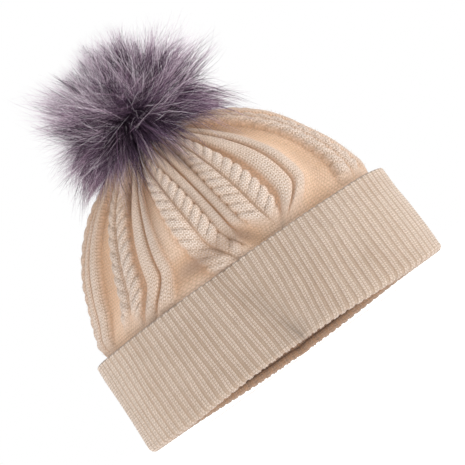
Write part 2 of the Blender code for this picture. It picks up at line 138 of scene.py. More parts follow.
def knit_material(name, ridge, valley_shade, gap, stitch_depth):
    """Knitted wool with painted shade: darker, warmer colour in its low parts, folds and gaps. The map
    counts stitches across (x) and rows up (y); face is 1 on the knit side.
    """
    n = principled(name, 0.92, Sheen_Weight=0.25, Sheen_Roughness=0.6)
    where = n.add("ShaderNodeUVMap", uv_map="stitches")
    across, up = n.add("ShaderNodeSeparateXYZ", {0: where}).node.outputs[:2]
    # a knit stitch is two slanted legs; a purl one is a bar with a shifted wave
    side = n.calc("ABSOLUTE", n.calc("SUBTRACT", n.calc("FRACT", across), 0.5))
    leg = n.sine(n.calc("FRACT", n.calc("SUBTRACT", up, n.times(side, 1.3))))
    column = n.sine(side, math.tau)
    knit = n.times(leg, n.calc("POWER", n.calc("ABSOLUTE", column), 0.5))
    shifted = n.calc("ADD", across, n.times(n.calc("FLOOR", up), 0.5))
    bar = n.calc("MULTIPLY_ADD", n.sine(n.calc("FRACT", up)), 0.35, 0.35)
    purl = n.calc("MULTIPLY_ADD", n.sine(shifted, math.tau), 0.18, bar)
    stitch = n.add("ShaderNodeMix", {"Factor": n.attribute("face"), 2: purl, 3: knit})
    fibre = n.noise(1100, 3, 0.7)
    fluff = n.noise(300)
    height = n.calc("MULTIPLY_ADD", fibre, 0.5, n.times(stitch, 0.75))
    height = n.calc("MULTIPLY_ADD", fluff, 0.4, height)
    patches = n.remap(n.noise(45, 3), 0.3, 0.7, -0.1, 0.1)
    # painted shade: the lower the relief, the more the colour goes from the lit ridge colour to the
    # darker, warmer colour of the low parts
    wool = n.mix(n.calc("ADD", n.attribute("relief"), patches), valley_shade, ridge)
    # painted shade: a warm, darker colour in the narrow grooves beside raised stitches and on the inside
    # of the rim
    wool = n.mix(n.attribute("groove"), wool, PAINTED_WARM_SHADE)
    # painted shade: towards a shadow colour where the crown's folds sink in
    wool = n.mix(n.attribute("shade"), wool, PAINTED_FOLD_SHADE)
    # painted shade: where the stitch pattern is low, between the legs, the colour goes to the dark gap
    # colour
    depth = n.calc("MULTIPLY_ADD", fibre, 1.5, n.calc("MULTIPLY_ADD", stitch, 0.9, -0.65))
    colour = n.mix(n.calc("MAXIMUM", n.calc("MINIMUM", depth, 1), 0), gap, wool)
    return n.finish(colour, (height, stitch_depth), (fluff, 0.3, 0.7, 0.85, 0.97))


def yarn_material(name, light, dark, twist_scale):
    """A plied thread or felt: fine fibres over a slanted twist."""
    n = principled(name, 0.9, Sheen_Weight=0.2)
    fibre = n.noise(1800, 3, 0.7)
    inputs = {"Vector": n.place(), "Scale": twist_scale, "Distortion": 2}
    wave = n.add("ShaderNodeTexWave", inputs, output=1, bands_direction="DIAGONAL")
    height = n.calc("ADD", n.times(fibre, 0.6), n.times(wave, 0.4))
    return n.finish(n.mix(height, dark, light), (height, 0.25 * MM, 0.7), (fibre, 0.3, 0.7, 0.8, 0.95))


def steel_material():
    """Turned nickel-plated steel with faint scratches."""
    n = principled("snap_steel", 0.3, Metallic=1)
    scratch = n.noise(3000, 4, 0.7)
    colour = n.mix(n.noise(400), (0.42, 0.42, 0.44, 1), (0.66, 0.65, 0.64, 1))
    return n.finish(colour, (scratch, 0.02 * MM, 0.4), (scratch, 0.3, 0.7, 0.22, 0.42))


def suede_material():
    """The leather side of the pelt."""
    n = principled("pelt_suede", 0.85, Sheen_Weight=0.15)
    nap = n.noise(700, 4, 0.6)
    colour = n.mix(nap, (0.20, 0.15, 0.15, 1), (0.42, 0.34, 0.32, 1))
    return n.finish(colour, (nap, 0.3 * MM, 0.6), (nap, 0.3, 0.7, 0.75, 0.95))


def tape_material():
    """Woven satin tape: warp and weft from two waves."""
    n = principled("label_satin", 0.55, Sheen_Weight=0.1)
    inputs = {"Vector": n.place(), "Scale": 900}
    warp, weft = (n.add("ShaderNodeTexWave", inputs, 1, bands_direction=way) for way in "XZ")
    weave = n.times(warp, weft)
    colour = n.mix(weave, (0.62, 0.58, 0.53, 1), (0.80, 0.77, 0.72, 1))
    return n.finish(colour, (weave, 0.05 * MM, 0.5), (weave, 0, 1, 0.45, 0.65))


def fill_material():
    """Loose white fibre."""
    n = principled("fibre_fill", 0.95, Sheen_Weight=0.3)
    strands = n.noise(900, 5, 0.75)
    colour = n.mix(strands, (0.66, 0.65, 0.63, 1), (0.88, 0.87, 0.85, 1))
    return n.finish(colour, (strands, 0.6 * MM, 0.9))


def hair_materials(name, colours, roughness, **settings):
    """One plain material for each colour; hairs pick theirs stretch by stretch."""
    return [
        principled(f"{name}_{i}", roughness, Base_Color=(*colour, 1), **settings).material
        for i, colour in enumerate(colours)
    ]


# -------- meshes


def add_object(name, data):
    made = bpy.data.objects.new(name, data)
    bpy.context.scene.collection.objects.link(made)
    return made


def link(name, mesh, materials, body, node):
    """Make the object, give it its finish, hang it on what it rides on and hide the node it stands for."""
    made = add_object(name, mesh)
    for material in materials:
        mesh.materials.append(material)
    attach(made, body)
    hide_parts(node)
    return made


def fill_mesh(mesh, points, faces):
    """Points and faces of one size, by numpy arrays."""
    mesh.vertices.add(len(points))
    mesh.vertices.foreach_set("co", points.astype(np.float32).ravel())
    mesh.loops.add(faces.size)
    mesh.loops.foreach_set("vertex_index", faces.astype(np.int32).ravel())
    mesh.polygons.add(len(faces))
    mesh.polygons.foreach_set("loop_start", np.arange(len(faces), dtype=np.int32) * faces.shape[1])
    mesh.update(calc_edges=True)
    mesh.validate()
    mesh.shade_smooth()


def grid_mesh(name, points, closed_rows, stitches=None, **attributes):
    """A mesh of quads over points[row, column]; columns always meet, rows do if closed_rows.

    stitches is (how many across, rows up at each row) for the map; attributes are per point.
    """
    points = np.array(points)
    rows, cols = points.shape[:2]
    r, c = np.meshgrid(np.arange(rows if closed_rows else rows - 1), np.arange(cols), indexing="ij")
    r2, c2 = (r + 1) % rows, (c + 1) % cols
    quads = np.stack([r * cols + c, r * cols + c2, r2 * cols + c2, r2 * cols + c], axis=-1)
    mesh = bpy.data.meshes.new(name)
    fill_mesh(mesh, points.reshape(-1, 3), quads.reshape(-1, 4))
    for key, values in attributes.items():
        layer = mesh.attributes.new(key, "FLOAT", "POINT")
        layer.data.foreach_set("value", values.astype(np.float32).ravel())
    if stitches:
        counts, up = stitches
        across = np.arange(cols + 1) * (counts / cols)
        u = np.stack([across[c], across[c + 1], across[c + 1], across[c]], axis=-1)
        v = np.stack([up[r], up[r], up[r2], up[r2]], axis=-1)
        layer = mesh.uv_layers.new(name="stitches")
        layer.data.foreach_set("uv", np.stack([u, v], axis=-1).astype(np.float32).ravel())
    return mesh


def close_rings(mesh, rings, turn_out=False):
    """Add a face over each ring of point numbers."""
    body = bmesh.new()
    body.from_mesh(mesh)
    body.verts.ensure_lookup_table()
    for ring in rings:
        body.faces.new([body.verts[i] for i in ring])
    if turn_out:
        bmesh.ops.recalc_face_normals(body, faces=body.faces)
    body.to_mesh(mesh)
    body.free()


def close_ends(mesh, sides):
    """Cap the two ends of an open tube."""
    count = len(mesh.vertices)
    close_rings(mesh, [range(sides)[::-1], range(count - sides, count)])


def smooth(x, low, high):
    """0 below low, 1 above high, with an even slope between."""
    t = np.clip((x - low) / (high - low), 0, 1)
    return t * t * (3 - 2 * t)


def bell(x, centre, width):
    return np.exp(-(((x - centre) / width) ** 2))


def unit(vectors):
    return vectors / np.maximum(np.linalg.norm(vectors, axis=-1, keepdims=True), 1e-12)


def points_at(x, y, z):
    """Points[..., 3] from three coordinates, each an array or one number."""
    return np.stack(np.broadcast_arrays(x, y, z), axis=-1)


def turns(count):
    """Even angles all the way round."""
    return math.tau * np.arange(count) / count


def circle(radius, turn, level):
    """Points round the hat's axis."""
    return points_at(radius * np.cos(turn), radius * np.sin(turn), level)


def run_along(path):
    """How far along path[n, 3] each of its points lies."""
    return np.concatenate([[0], np.cumsum(np.linalg.norm(np.diff(path, axis=0), axis=-1))])


def grid_normals(points):
    """Unit normals of an open grid, from its neighbours' differences."""
    across = np.roll(points, -1, axis=1) - np.roll(points, 1, axis=1)
    return unit(np.cross(across, np.gradient(points, axis=0)))


# the hat's outline seen from above is an oval between an ellipse and a rectangle
OVAL_POWER = 2.4
FINE = np.linspace(-math.pi, math.pi, 1441)
FINE_X = np.sign(np.sin(FINE)) * np.abs(np.sin(FINE)) ** (2 / OVAL_POWER)
FINE_Y = -np.sign(np.cos(FINE)) * np.abs(np.cos(FINE)) ** (2 / OVAL_POWER)


def outline(half_width, half_depth, share):
    """Points of the oval at shares of its length; 0 is the middle of the front, +-0.5 the back."""
    x, y = half_width * FINE_X, half_depth * FINE_Y
    length = np.concatenate([[0], np.cumsum(np.hypot(np.diff(x), np.diff(y)))])
    along = (share + 0.5) * length[-1]
    return np.interp(along, length, x), np.interp(along, length, y), length[-1]


# -------- cuff: rib knit, turned up

RIM_HALF_WIDTH, RIM_HALF_DEPTH = box("cuff_turn_up")[1][:2]
RIBS = 106
COLUMNS_PER_RIB = 9
WALES_PER_RIB = 3  # two knit, one purl
RIB_RELIEF = 0.95 * MM
FUZZ_ROWS = 80  # loose fibres stand on these rows of the profile: the face and the start of the fold
# heights and tones of a rib's columns, from the line between its two knit wales and round again; the low
# tones paint the sunken columns darker, as painted shade
WALE_HEIGHTS = np.array([0.35, 0.95, 0.90, 0.12, 0.20, 0.20, 0.12, 0.90, 0.95])
WALE_TONES = np.array([0.30, 1, 1, 0.15, 0.45, 0.45, 0.15, 1, 1])
CUFF_SIZE = 66 * MM
KNIT = 3 * MM  # thickness of the fabric
ROW_PITCH = 1.7 * MM  # one stitch row of the rib
CUFF_TOP_LEVEL = 68.6 * MM
CUFF_TOP_SLOPE = 3 * MM
CUFF_TAPER = 2.3 * MM  # the rim is this much wider, each side, than the top edge
CUFF_TAPER_DEPTH = 1.5 * MM
RIM_LIFT = 8.5 * MM  # the front of the rim is this far off the floor
RIM_FLAT = 0.8
RIM_LIFT_POWER = 1.15
RIM_REST = MM  # the back of the rim rests on the lump of its seam
SEAM_X = 1.7 * MM
RIM_EASE = 3.2 * MM  # towards the sides the front of the rim comes down and the back goes up
LIP_HEIGHT = 4.6 * MM
CREASE_FOOT = 9 * MM  # where the ribs close up, right of the front's middle, at the fold
CREASE_LEAN = -24 * MM  # and how far left of that the crease is at the top edge
CREASE_DEPTH = 2.6 * MM
INSIDE_SHADE = 0.6  # how far the inside of the rim is painted with the warm shade colour: painted shade


def rim_level(x, y):
    """Level of the rim: flat at the back, lifted at the front, both easing towards the sides."""
    side = smooth(np.abs(x) / RIM_HALF_WIDTH, 0.12, 0.85)
    rise = np.clip((RIM_FLAT - y / RIM_HALF_DEPTH) / (1 + RIM_FLAT), 0, 1) ** RIM_LIFT_POWER
    front = np.sin(0.5 * math.pi * rise)
    bump = 1 - bell(x, SEAM_X, 5 * MM)
    return RIM_LIFT * front + RIM_EASE * side * (1 - 2 * front) + RIM_REST * bump * (1 - front)


def cuff_point(share, inset, local):
    """Points of the cuff: share along the outline, inset from its face, height on its width."""
    part = local / CUFF_SIZE
    half_width = RIM_HALF_WIDTH - CUFF_TAPER * part - inset
    half_depth = RIM_HALF_DEPTH - CUFF_TAPER_DEPTH * part - inset
    x, y, _ = outline(half_width, half_depth, share)
    low = rim_level(x, y)
    straight = low + (CUFF_TOP_LEVEL - CUFF_TOP_SLOPE * y / RIM_HALF_DEPTH - low) * part
    fold = max(0, 1 - local / (LIP_HEIGHT + 6 * MM))
    return points_at(x, y, straight * (1 - fold) + (low + local) * fold)


def cuff_profile():
    """(inset, local height, how much of the relief shows) for each row, all the way round; rows that show
    less are also painted darker, as painted shade.
    """
    under = 2 * KNIT + 0.3 * MM
    middle = 0.5 * under
    top = CUFF_SIZE - 0.6 * MM
    rows = [(0, z, 1) for z in np.linspace(top, middle, 74)]  # the face, downwards
    for a in np.linspace(0, math.pi, 13)[1:]:  # round the fold
        rows.append((middle - middle * math.cos(a), middle - middle * math.sin(a), 1))
    rows += [(under, 0.7 * (middle + LIP_HEIGHT), 0.5), (0.8 * under, LIP_HEIGHT, 0)]
    # up the hidden side and over the top edge
    rows += [(KNIT, z, 0) for z in np.linspace(LIP_HEIGHT + 0.2 * MM, 54 * MM, 8)]
    rows += [(KNIT, z, 0.4) for z in np.linspace(57 * MM, top, 5)]
    rows += [(0.75 * KNIT, CUFF_SIZE - 0.1 * MM, 0.6), (0.25 * KNIT, CUFF_SIZE - 0.1 * MM, 0.8)]
    return rows


def ripple(share, level, amount, seed):
    """A slow unevenness of the fabric that closes on itself around the hat."""
    rng = np.random.default_rng(seed)
    total = 0
    for waves in (3, 5, 8, 13):
        a, b = rng.uniform(0, math.tau, 2)
        wave = np.sin(math.tau * waves * share + a + 3 * np.sin(level / (17 * MM) + b))
        total = total + wave / math.sqrt(waves)
    return amount * total / 2


def ribbed_piece(name, rows, wool, node):
    """A closed tube from rows of (points, relief, painted warm shade inside the rim, stitches up)."""
    points, relief, inside_shade, up = (np.array(column) for column in zip(*rows))
    groove = np.broadcast_to(inside_shade[:, None], relief.shape)
    stitches = (RIBS * WALES_PER_RIB, up)
    mesh = grid_mesh(name, points, True, stitches, relief=relief, face=relief, groove=groove)
    return link(name, mesh, [wool], "hat", node)


def cuff_turn_up():
    """The ribbed outer layer and its fold; also its face, for the fuzz."""
    columns = RIBS * COLUMNS_PER_RIB
    share = np.arange(columns) / columns - 0.5
    rib, tone = np.tile(WALE_HEIGHTS, RIBS), np.tile(WALE_TONES, RIBS)
    length = outline(RIM_HALF_WIDTH, RIM_HALF_DEPTH, share)[2]
    s = share * length
    seam = 0.9 * MM * bell(around(s, 0.5 * length), 0, 1.6 * MM)
    profile = cuff_profile()
    travelled = run_along(np.array(profile)[:, :2])
    rows = []
    for (inset, local, shown), run in zip(profile, travelled):
        part = local / CUFF_SIZE
        # the ribs close up towards the fold; the crease leans to the left on its way up
        crease = CREASE_FOOT + CREASE_LEAN * part
        close = 0.33 * (1 - part) ** 1.2 * (CREASE_FOOT - s) * bell(s, CREASE_FOOT, 42 * MM)
        near = -0.34 * (s - crease) * bell(s, crease, 14 * MM) * (1 - 0.8 * part)
        wander = ripple(6 * share, local, 0.5 * MM, 13)
        wander = wander + ripple(15 * share, 0.4 * local, 0.25 * MM, 14)
        moved = (s + close + near + wander) / length
        dip = CREASE_DEPTH * bell(moved * length, crease, 10 * MM)
        dip = dip * smooth(part, 0, 0.2) * (1 - 0.7 * part)
        swell = 1.4 * MM * bell(moved * length, crease + 26 * MM, 17 * MM) * smooth(part, 0, 0.5)
        face = cuff_point(moved, inset + 0.9 * MM, local)
        push = unit(cuff_point(moved, inset - 0.1 * MM, local) - face)
        height = RIB_RELIEF * rib * shown
        if inset < KNIT and local > 3 * MM:
            height = height - dip + swell + ripple(share, local, 0.6 * MM, 11) - seam
        if shown == 1 and local < LIP_HEIGHT:
            roll = math.acos(np.clip(1 - inset / (KNIT + 0.15 * MM), -1, 1))
            push = push * math.cos(roll) + np.array([0, 0, -math.sin(roll)])
            height = height - (dip - swell) * max(0, math.cos(roll))
        elif inset >= 0.6 * KNIT:
            push = -push
        row = face + push * height[:, None]
        if local > CUFF_SIZE - MM:
            row[:, 2] += 0.6 * MM * rib + ripple(share, 0, 0.6 * MM, 12)
        row[:, 2] = np.maximum(row[:, 2], 0)
        # painted shade: the inside of the rim takes the warm shade colour
        inside_shade = INSIDE_SHADE * smooth(inset, KNIT, 2 * KNIT)
        # painted shade: tone times shown darkens the purl columns and the rows that show less relief
        rows.append((row, tone * shown, inside_shade, -run / ROW_PITCH))
    made = ribbed_piece("cuff_rib_knit", rows[::-1], CUFF_WOOL, "cuff_turn_up")
    return made, np.array([row[0] for row in rows[:FUZZ_ROWS]])


# -------- inner band

BAND_COLUMNS_PER_RIB = 6
BAND_FOOT_HALF = np.array([111.38, 60.58]) * MM
BAND_TOP_HALF = np.array([107, 58.6]) * MM
BAND_TOP_LEVEL = box("inner_band_knit")[1][2]
BAND_FOOT_GAP = 4.9 * MM  # above the rim, where the cuff's folded lip lies


def band_point(share, inset, part):
    """Points of the band: share along the outline, inset from its outer face, part of its height."""
    half = BAND_FOOT_HALF + (BAND_TOP_HALF - BAND_FOOT_HALF) * part - inset
    x, y, _ = outline(half[0], half[1], share)
    low = rim_level(x, y) + BAND_FOOT_GAP
    return points_at(x, y, low + (BAND_TOP_LEVEL - low) * part)


def inner_band():
    """The ribbed layer behind the cuff: up its outer face and down the inner one."""
    columns = RIBS * BAND_COLUMNS_PER_RIB
    share = np.arange(columns) / columns - 0.5
    rib = np.abs(np.cos(math.pi * np.arange(columns) / BAND_COLUMNS_PER_RIB)) ** 0.7
    profile = [(0, part, 0) for part in np.linspace(0.02, 0.98, 8)]
    profile += [(0.4 * KNIT, 1, 0), (0.8 * KNIT, 1, 0.2)]
    profile += [(KNIT, part, 1) for part in np.linspace(0.985, 0.015, 60)]
    profile += [(0.8 * KNIT, 0, 0.4), (0.4 * KNIT, 0, 0)]
    rows = []
    for inset, part, shown in profile:
        face = band_point(share, inset, part)
        out = unit(band_point(share, inset - MM, part) - face)
        row = face + out * (1.1 * MM * shown * (1 - rib))[:, None]
        # painted shade: the warm shade colour on the inner face near the foot
        inside_shade = INSIDE_SHADE * shown * (1 - smooth(part, 0.1, 0.4))
        up = part * (BAND_TOP_LEVEL - BAND_FOOT_GAP) / ROW_PITCH
        # painted shade: darker between the ribs and on the hidden faces
        rows.append((row, 0.25 + 0.75 * rib * shown, inside_shade, up))
    return ribbed_piece("inner_band_rib_knit", rows, CROWN_WOOL, "inner_band_knit")


# -------- crown: cables, ribs and purl

CROWN_LOW, CROWN_HIGH = box("crown_knit")
CROWN_COLUMNS = 560
CROWN_ROW = 1.06 * MM  # distance between two rows of the mesh
CROWN_HEM_FLARE = 2 * MM
CROWN_HEIGHT = 98 * MM
CROWN_LEVEL = CROWN_HIGH[2] - CROWN_HEIGHT
CROWN_HALF_WIDTH = CROWN_HIGH[0] - CROWN_HEM_FLARE
CROWN_HALF_DEPTH = CROWN_HIGH[1] - 0.8 * CROWN_HEM_FLARE
# size = foot * (1 - climb**first) ** second; climb is 0 at the cuff and 1 at the top
CROWN_WIDTH_POWERS = (1.2, 0.294)
CROWN_DEPTH_POWERS = (1.8, 0.2055)
CROWN_INSET = 1.8 * MM  # of the ground between the cables
TOP_CLOSES = (0.99, 0.9985)  # between these climbs the fabric comes in to the post's hole
POST_HOLE_RADIUS = 3 * MM
CROWN_STITCH = 2.3 * MM  # one stitch across, and one row up
CROWN_STITCH_ROW = 1.9 * MM
PERIMETER = 540 * MM  # of the crown at the cuff

# along the outline at the cuff, from the middle of the front
CABLES = np.array([-255, -195, -137, -70, -8, 34, 103, 165, 222]) * MM
CABLE_HALF = 11.4 * MM
CABLE_HEIGHT = 4.6 * MM
LEAF_PITCH = 7.7 * MM
RIB_PAIRS = np.array([-225, -166, -106, -45, 13, 58, 134, 194, 252]) * MM
RIB_SPREAD = 5.5 * MM
RIB_HALF = 4.9 * MM
RIB_HEIGHT = 3 * MM
# along the outline, and how far above the cuff the cables and ribs start there (mm)
STARTS = (
    (-110, 1), (-82, 4), (-70, 9), (-58, 2), (-8, -2), (4, 4), (13, 16),
    (22, 14), (34, 7), (46, 9), (58, 5), (66, 9), (103, 2),
)
DRIFT_BLUR = 10  # columns
HALF_CLIMB, HIGH_CLIMB = 0.44, 0.72
DRIFTS = (
    # along the outline, then how far the wales have moved sideways at the cuff and at these climbs (mm)
    (-230, 0, 0, 0), (-135, -6, 8, 22), (-70, -10, 2, 10), (-45, -19, 3, 11),
    (-19, 3, -6.5, -6), (-8, 12, -2.5, -7), (3, 12, 0, -6), (13, 6, -3.5, -8),
    (23, 5, -7.5, -8), (34, 4, -3, -7), (58, -20, 5, -5), (103, 0, 0, -12),
    (150, 0, 0, -14), (230, 0, 0, 0),
)


def half_sizes(climb):
    """Half width and half depth of the dome."""
    width = CROWN_HALF_WIDTH * (1 - climb ** CROWN_WIDTH_POWERS[0]) ** CROWN_WIDTH_POWERS[1]
    depth = CROWN_HALF_DEPTH * (1 - climb ** CROWN_DEPTH_POWERS[0]) ** CROWN_DEPTH_POWERS[1]
    return width, depth


def crown_rows():
    """Half width, half depth, level, climb and distance up the fabric of each row, hem to top."""
    climb = 1 - (1 - np.linspace(0, 0.99, 6000)) ** 5  # finer towards the flat top
    width, depth = half_sizes(climb)
    level = CROWN_LEVEL + CROWN_HEIGHT * climb
    keep = depth > POST_HOLE_RADIUS
    width, depth, level, climb = (a[keep] for a in (width, depth, level, climb))
    width = np.maximum(width, POST_HOLE_RADIUS)
    mean = 0.5 * (width + depth)
    up = np.concatenate([[0], np.cumsum(np.hypot(np.diff(mean), np.diff(level)))])
    wanted = np.arange(0, up[-1], CROWN_ROW)
    rows = [np.interp(wanted, up, a) for a in (width, depth, level, climb)] + [wanted]
    hem = np.linspace(-(CROWN_LEVEL - CROWN_LOW[2]) + 0.4 * MM, -CROWN_ROW, 8)
    flare = CROWN_HEM_FLARE * hem / hem[0]
    under = [width[0] + flare, depth[0] + 0.8 * flare, CROWN_LEVEL + hem, np.zeros(len(hem)), hem]
    return [np.concatenate(pair) for pair in zip(under, rows)]


def around(s, centre):
    """Signed distance along the outline, the short way."""
    return (s - centre + 0.5 * PERIMETER) % PERIMETER - 0.5 * PERIMETER


def knit_pattern(s, v):
    """Height of the cables and ribs, and how far each point belongs to them (1) or to the purl."""
    height = np.zeros(np.broadcast(s, v).shape)
    raised = np.zeros_like(height)
    for k, centre in enumerate(CABLES):
        q = around(s, centre)
        x = np.clip(np.abs(q) / CABLE_HALF, 0, 1)
        wobble = 0.4 * MM * np.sin(v / (11 * MM) + 1.7 * k)
        f = ((v + wobble - 0.85 * np.abs(q) + 0.12 * LEAF_PITCH * np.sign(q)) / LEAF_PITCH) % 1
        leaf = np.sqrt(np.clip(1 - np.abs(2 * f - 1) ** 2, 0, 1))
        x = x / (0.86 + 0.14 * leaf)
        across = np.sqrt(np.sin(math.pi * np.clip(1.06 * x, 0, 1)) + 1e-9)
        inside = x < 0.943
        cable = CABLE_HEIGHT * across * (0.36 + 0.64 * leaf)
        height = np.maximum(height, np.where(inside, cable, 0))
        raised = np.maximum(raised, np.where(inside, smooth(across, 0.1, 0.5), 0))
    for centre in RIB_PAIRS:
        for side in (-1, 1):
            q = around(s, centre + side * RIB_SPREAD)
            x = np.clip(np.abs(q) / RIB_HALF, 0, 1)
            column = np.sqrt(np.clip(1 - x**2.2, 0, 1))
            height = np.maximum(height, RIB_HEIGHT * column)
            raised = np.maximum(raised, smooth(column, 0.1, 0.5))
    return height, raised


def drifted(s, climb):
    """Where the wales run, as shares: they lean towards the front and close up under the pompom."""
    along, low, half, high = np.array(DRIFTS).T * MM
    curve = (high / HIGH_CLIMB - half / HALF_CLIMB) / (HIGH_CLIMB - HALF_CLIMB)
    slope = half / HALF_CLIMB - curve * HALF_CLIMB
    foot = low * (1 - smooth(climb, -0.02, 0.24))
    drift = np.interp(s, along, foot + slope * climb + curve * climb**2)
    window = np.hanning(2 * DRIFT_BLUR + 1)
    padded = np.concatenate([drift[-DRIFT_BLUR:], drift, drift[:DRIFT_BLUR]])
    return (s + np.convolve(padded, window / window.sum(), "valid")) / PERIMETER


FOLDS = (
    # along the outline, height on the fabric, width, length, amount (mm): + swells, - sinks
    (-66, 15, 17, 13, 3.6), (-45, 22, 12, 22, 2), (-24, 36, 15, 13, 4), (-16, 15, 28, 10, -6.2),
    (-14, 0, 26, 7, 3.5), (-140, 25, 18, 28, -2), (-135, 70, 40, 45, -3), (140, 45, 40, 45, -2.2),
    (-135, 0, 30, 8, 2.4), (135, 0, 30, 8, 2), (-11, 42, 14, 22, 2.6), (15, 10, 10, 10, -3.2),
    (34, 28, 13, 24, 2.6), (58, 32, 13, 30, 4.6), (80, 28, 11, 32, -3.6), (-88, 38, 10, 26, -3.4),
    (-106, 60, 14, 40, 2.4), (23, 86, 6, 24, -5.5), (-58, 82, 6, 20, -4.5), (80, 92, 9, 22, -4.5),
    (-25, 100, 7, 20, -4), (150, 25, 30, 20, 2.2), (230, 20, 40, 16, 2.5), (-190, 22, 35, 18, 2.4),
)


def crown_folds(s, v):
    total = 0
    for along, up, wide, tall, amount in np.array(FOLDS) * MM:
        total = total + amount * bell(around(s, along), 0, wide) * bell(v, up, tall)
    tuck = MM * bell(v, 0, 6 * MM) * (0.65 + 0.35 * np.cos(s / (14 * MM) + 0.8))
    return total - tuck


def crown():
    """The cable-knit dome with its inner skin; also its face, for the fuzz, and its back, for the seam."""
    width, depth, level, climb, up = crown_rows()
    s = (np.arange(CROWN_COLUMNS) / CROWN_COLUMNS - 0.5) * PERIMETER
    base = []
    for w, d, z, t in zip(width, depth, level, climb):
        x, y, _ = outline(w - CROWN_INSET, d - CROWN_INSET, (drifted(s, t) + 0.5) % 1 - 0.5)
        base.append(points_at(x, y, z - CROWN_INSET * t**3 * (1 - smooth(t, *TOP_CLOSES))))
    base = np.array(base)
    normals = grid_normals(base)
    climb, v = climb[:, None], up[:, None]
    height, raised = knit_pattern(s[None, :], v)
    crowd = smooth(climb, 0.45, 0.95)
    start = np.interp(s, *(np.array(STARTS).T * MM))[None, :]
    fade = smooth(v, start - 4 * MM, start + 9 * MM) * (1 - 0.4 * crowd)
    fade = fade * (1 - smooth(climb, *TOP_CLOSES))
    settle = 1 - smooth(climb, 0.93, 0.995)
    sink = (1.4 * MM + 3.6 * MM * crowd) * (1 - raised * fade) * settle
    folds = crown_folds(s[None, :], v) * settle
    offset = height * fade + folds - sink + ripple(s[None, :] / PERIMETER, v, 0.7 * MM, 21) * settle
    offset = offset - 1.3 * MM * bell(around(s, 0.5 * PERIMETER), 0, 1.8 * MM)[None, :] * settle
    outer = base + normals * offset[..., None]
    skin = np.arange(len(up) - 1, 0, -6)  # the rows that the inner skin repeats, top to hem
    soft = offset - height * fade * 0.75
    inner = (base + normals * (soft - KNIT)[..., None])[skin]
    inner[..., 2] = np.maximum(inner[..., 2], CROWN_LOW[2] + 0.3 * MM)

    def with_inside(face, inside):
        return np.concatenate([face, np.full((len(skin), CROWN_COLUMNS), inside)])

    # painted shade: the lower the stitches and the deeper a fold sinks, the more the colour goes to the
    # darker, warmer colour of the low parts
    relief = 0.4 + 0.6 * np.clip(height * fade / (3.6 * MM), 0, 1) ** 1.6
    relief = np.clip(relief + 100 * np.minimum(folds - sink, 0), 0, 1)
    # painted shade: narrow grooves take the warm shade colour, by how closely raised stitches crowd round
    # them
    near = sum(np.roll(raised, k, axis=1) for k in range(-5, 6)) / 11
    groove = 1.1 * np.clip(near - raised - 0.1, 0, 0.6) * fade
    mesh = grid_mesh(
        "crown_cable_knit", np.concatenate([outer, inner]), True,
        (round(PERIMETER / CROWN_STITCH), np.concatenate([up, up[skin]]) / CROWN_STITCH_ROW),
        relief=with_inside(relief, 0.35), face=np.concatenate([raised * fade, 1 - raised[skin]]),
        # painted shade, stronger the deeper a fold sinks
        shade=with_inside(smooth(-folds, MM, 9 * MM), 0), groove=with_inside(groove, 0),
    )
    made = link("crown_cable_knit", mesh, [CROWN_WOOL], "hat", "crown_knit")
    return made, outer, normals, inner[:, 0]


# -------- pompom: hairs

PELT_LOW, PELT_HIGH = box("pompom_pelt")
PELT_RADIUS = 0.5 * (PELT_HIGH[0] - PELT_LOW[0])
PELT_CENTRE = np.array([0, 0, PELT_HIGH[2] - PELT_RADIUS])
KNOT = PELT_CENTRE - np.array([0, 0, PELT_RADIUS])
FUR_CENTRE = KNOT + np.array([0, 0, 3 * MM])
FUR_REACH = np.array([68, 57, 64]) * MM
FUR_SQUARENESS = 2.5
# the ball is uneven: direction seen from the front, degrees up from +X, and how far it reaches
FUR_LOBES = (
    (-90, 1), (-50, 1), (-20, 0.94), (0, 0.79), (18, 0.99), (34, 0.92), (56, 0.80), (74, 0.88),
    (90, 0.83), (112, 0.80), (133, 1.02), (152, 0.85), (177, 0.83), (194, 0.84), (210, 0.96),
    (230, 1), (270, 1),
)
LONGEST = 1.22  # no hair reaches further than this many times the ball
FUR_DROP = 68 * MM  # reach downwards
FUR_SAG = 10 * MM  # how far the hairs hang in front and behind
TIE_RADIUS = 10 * MM
CLUMPS = 540


def ball_directions(rng, count, lowest, highest=1):
    """Even random directions between two heights on the unit ball."""
    up = rng.uniform(lowest, highest, count)
    turn = rng.uniform(0, math.tau, count)
    return circle(np.sqrt(1 - up**2), turn, up)


def crown_height(x, y):
    """Level of the crown's surface under a point, by bisection on the dome's climb."""
    low, high = np.zeros_like(x), np.full_like(x, 0.999999)
    for _ in range(22):
        middle = 0.5 * (low + high)
        width, depth = half_sizes(middle)
        inside = (np.abs(x) / width) ** OVAL_POWER + (np.abs(y) / depth) ** OVAL_POWER < 1
        low, high = np.where(inside, middle, low), np.where(inside, high, middle)
    return CROWN_LEVEL + CROWN_HEIGHT * low


# which way the hair lies: the height of its root on the ball, then how steeply its tip points up
ROOT_HEIGHT = (-1, -0.94, -0.64, -0.26, 0.17, 0.77, 1)
FRONT_RISE = (-45, -34, 18, 48, 66, 80, 90)
SIDE_RISE = (-6, 2, 13, 26, 42, 65, 90)


def raised_by(flat, rise):
    """Level ways flat[hair, 2], raised by an angle."""
    return np.concatenate([flat * np.cos(rise), np.sin(rise)], axis=1)


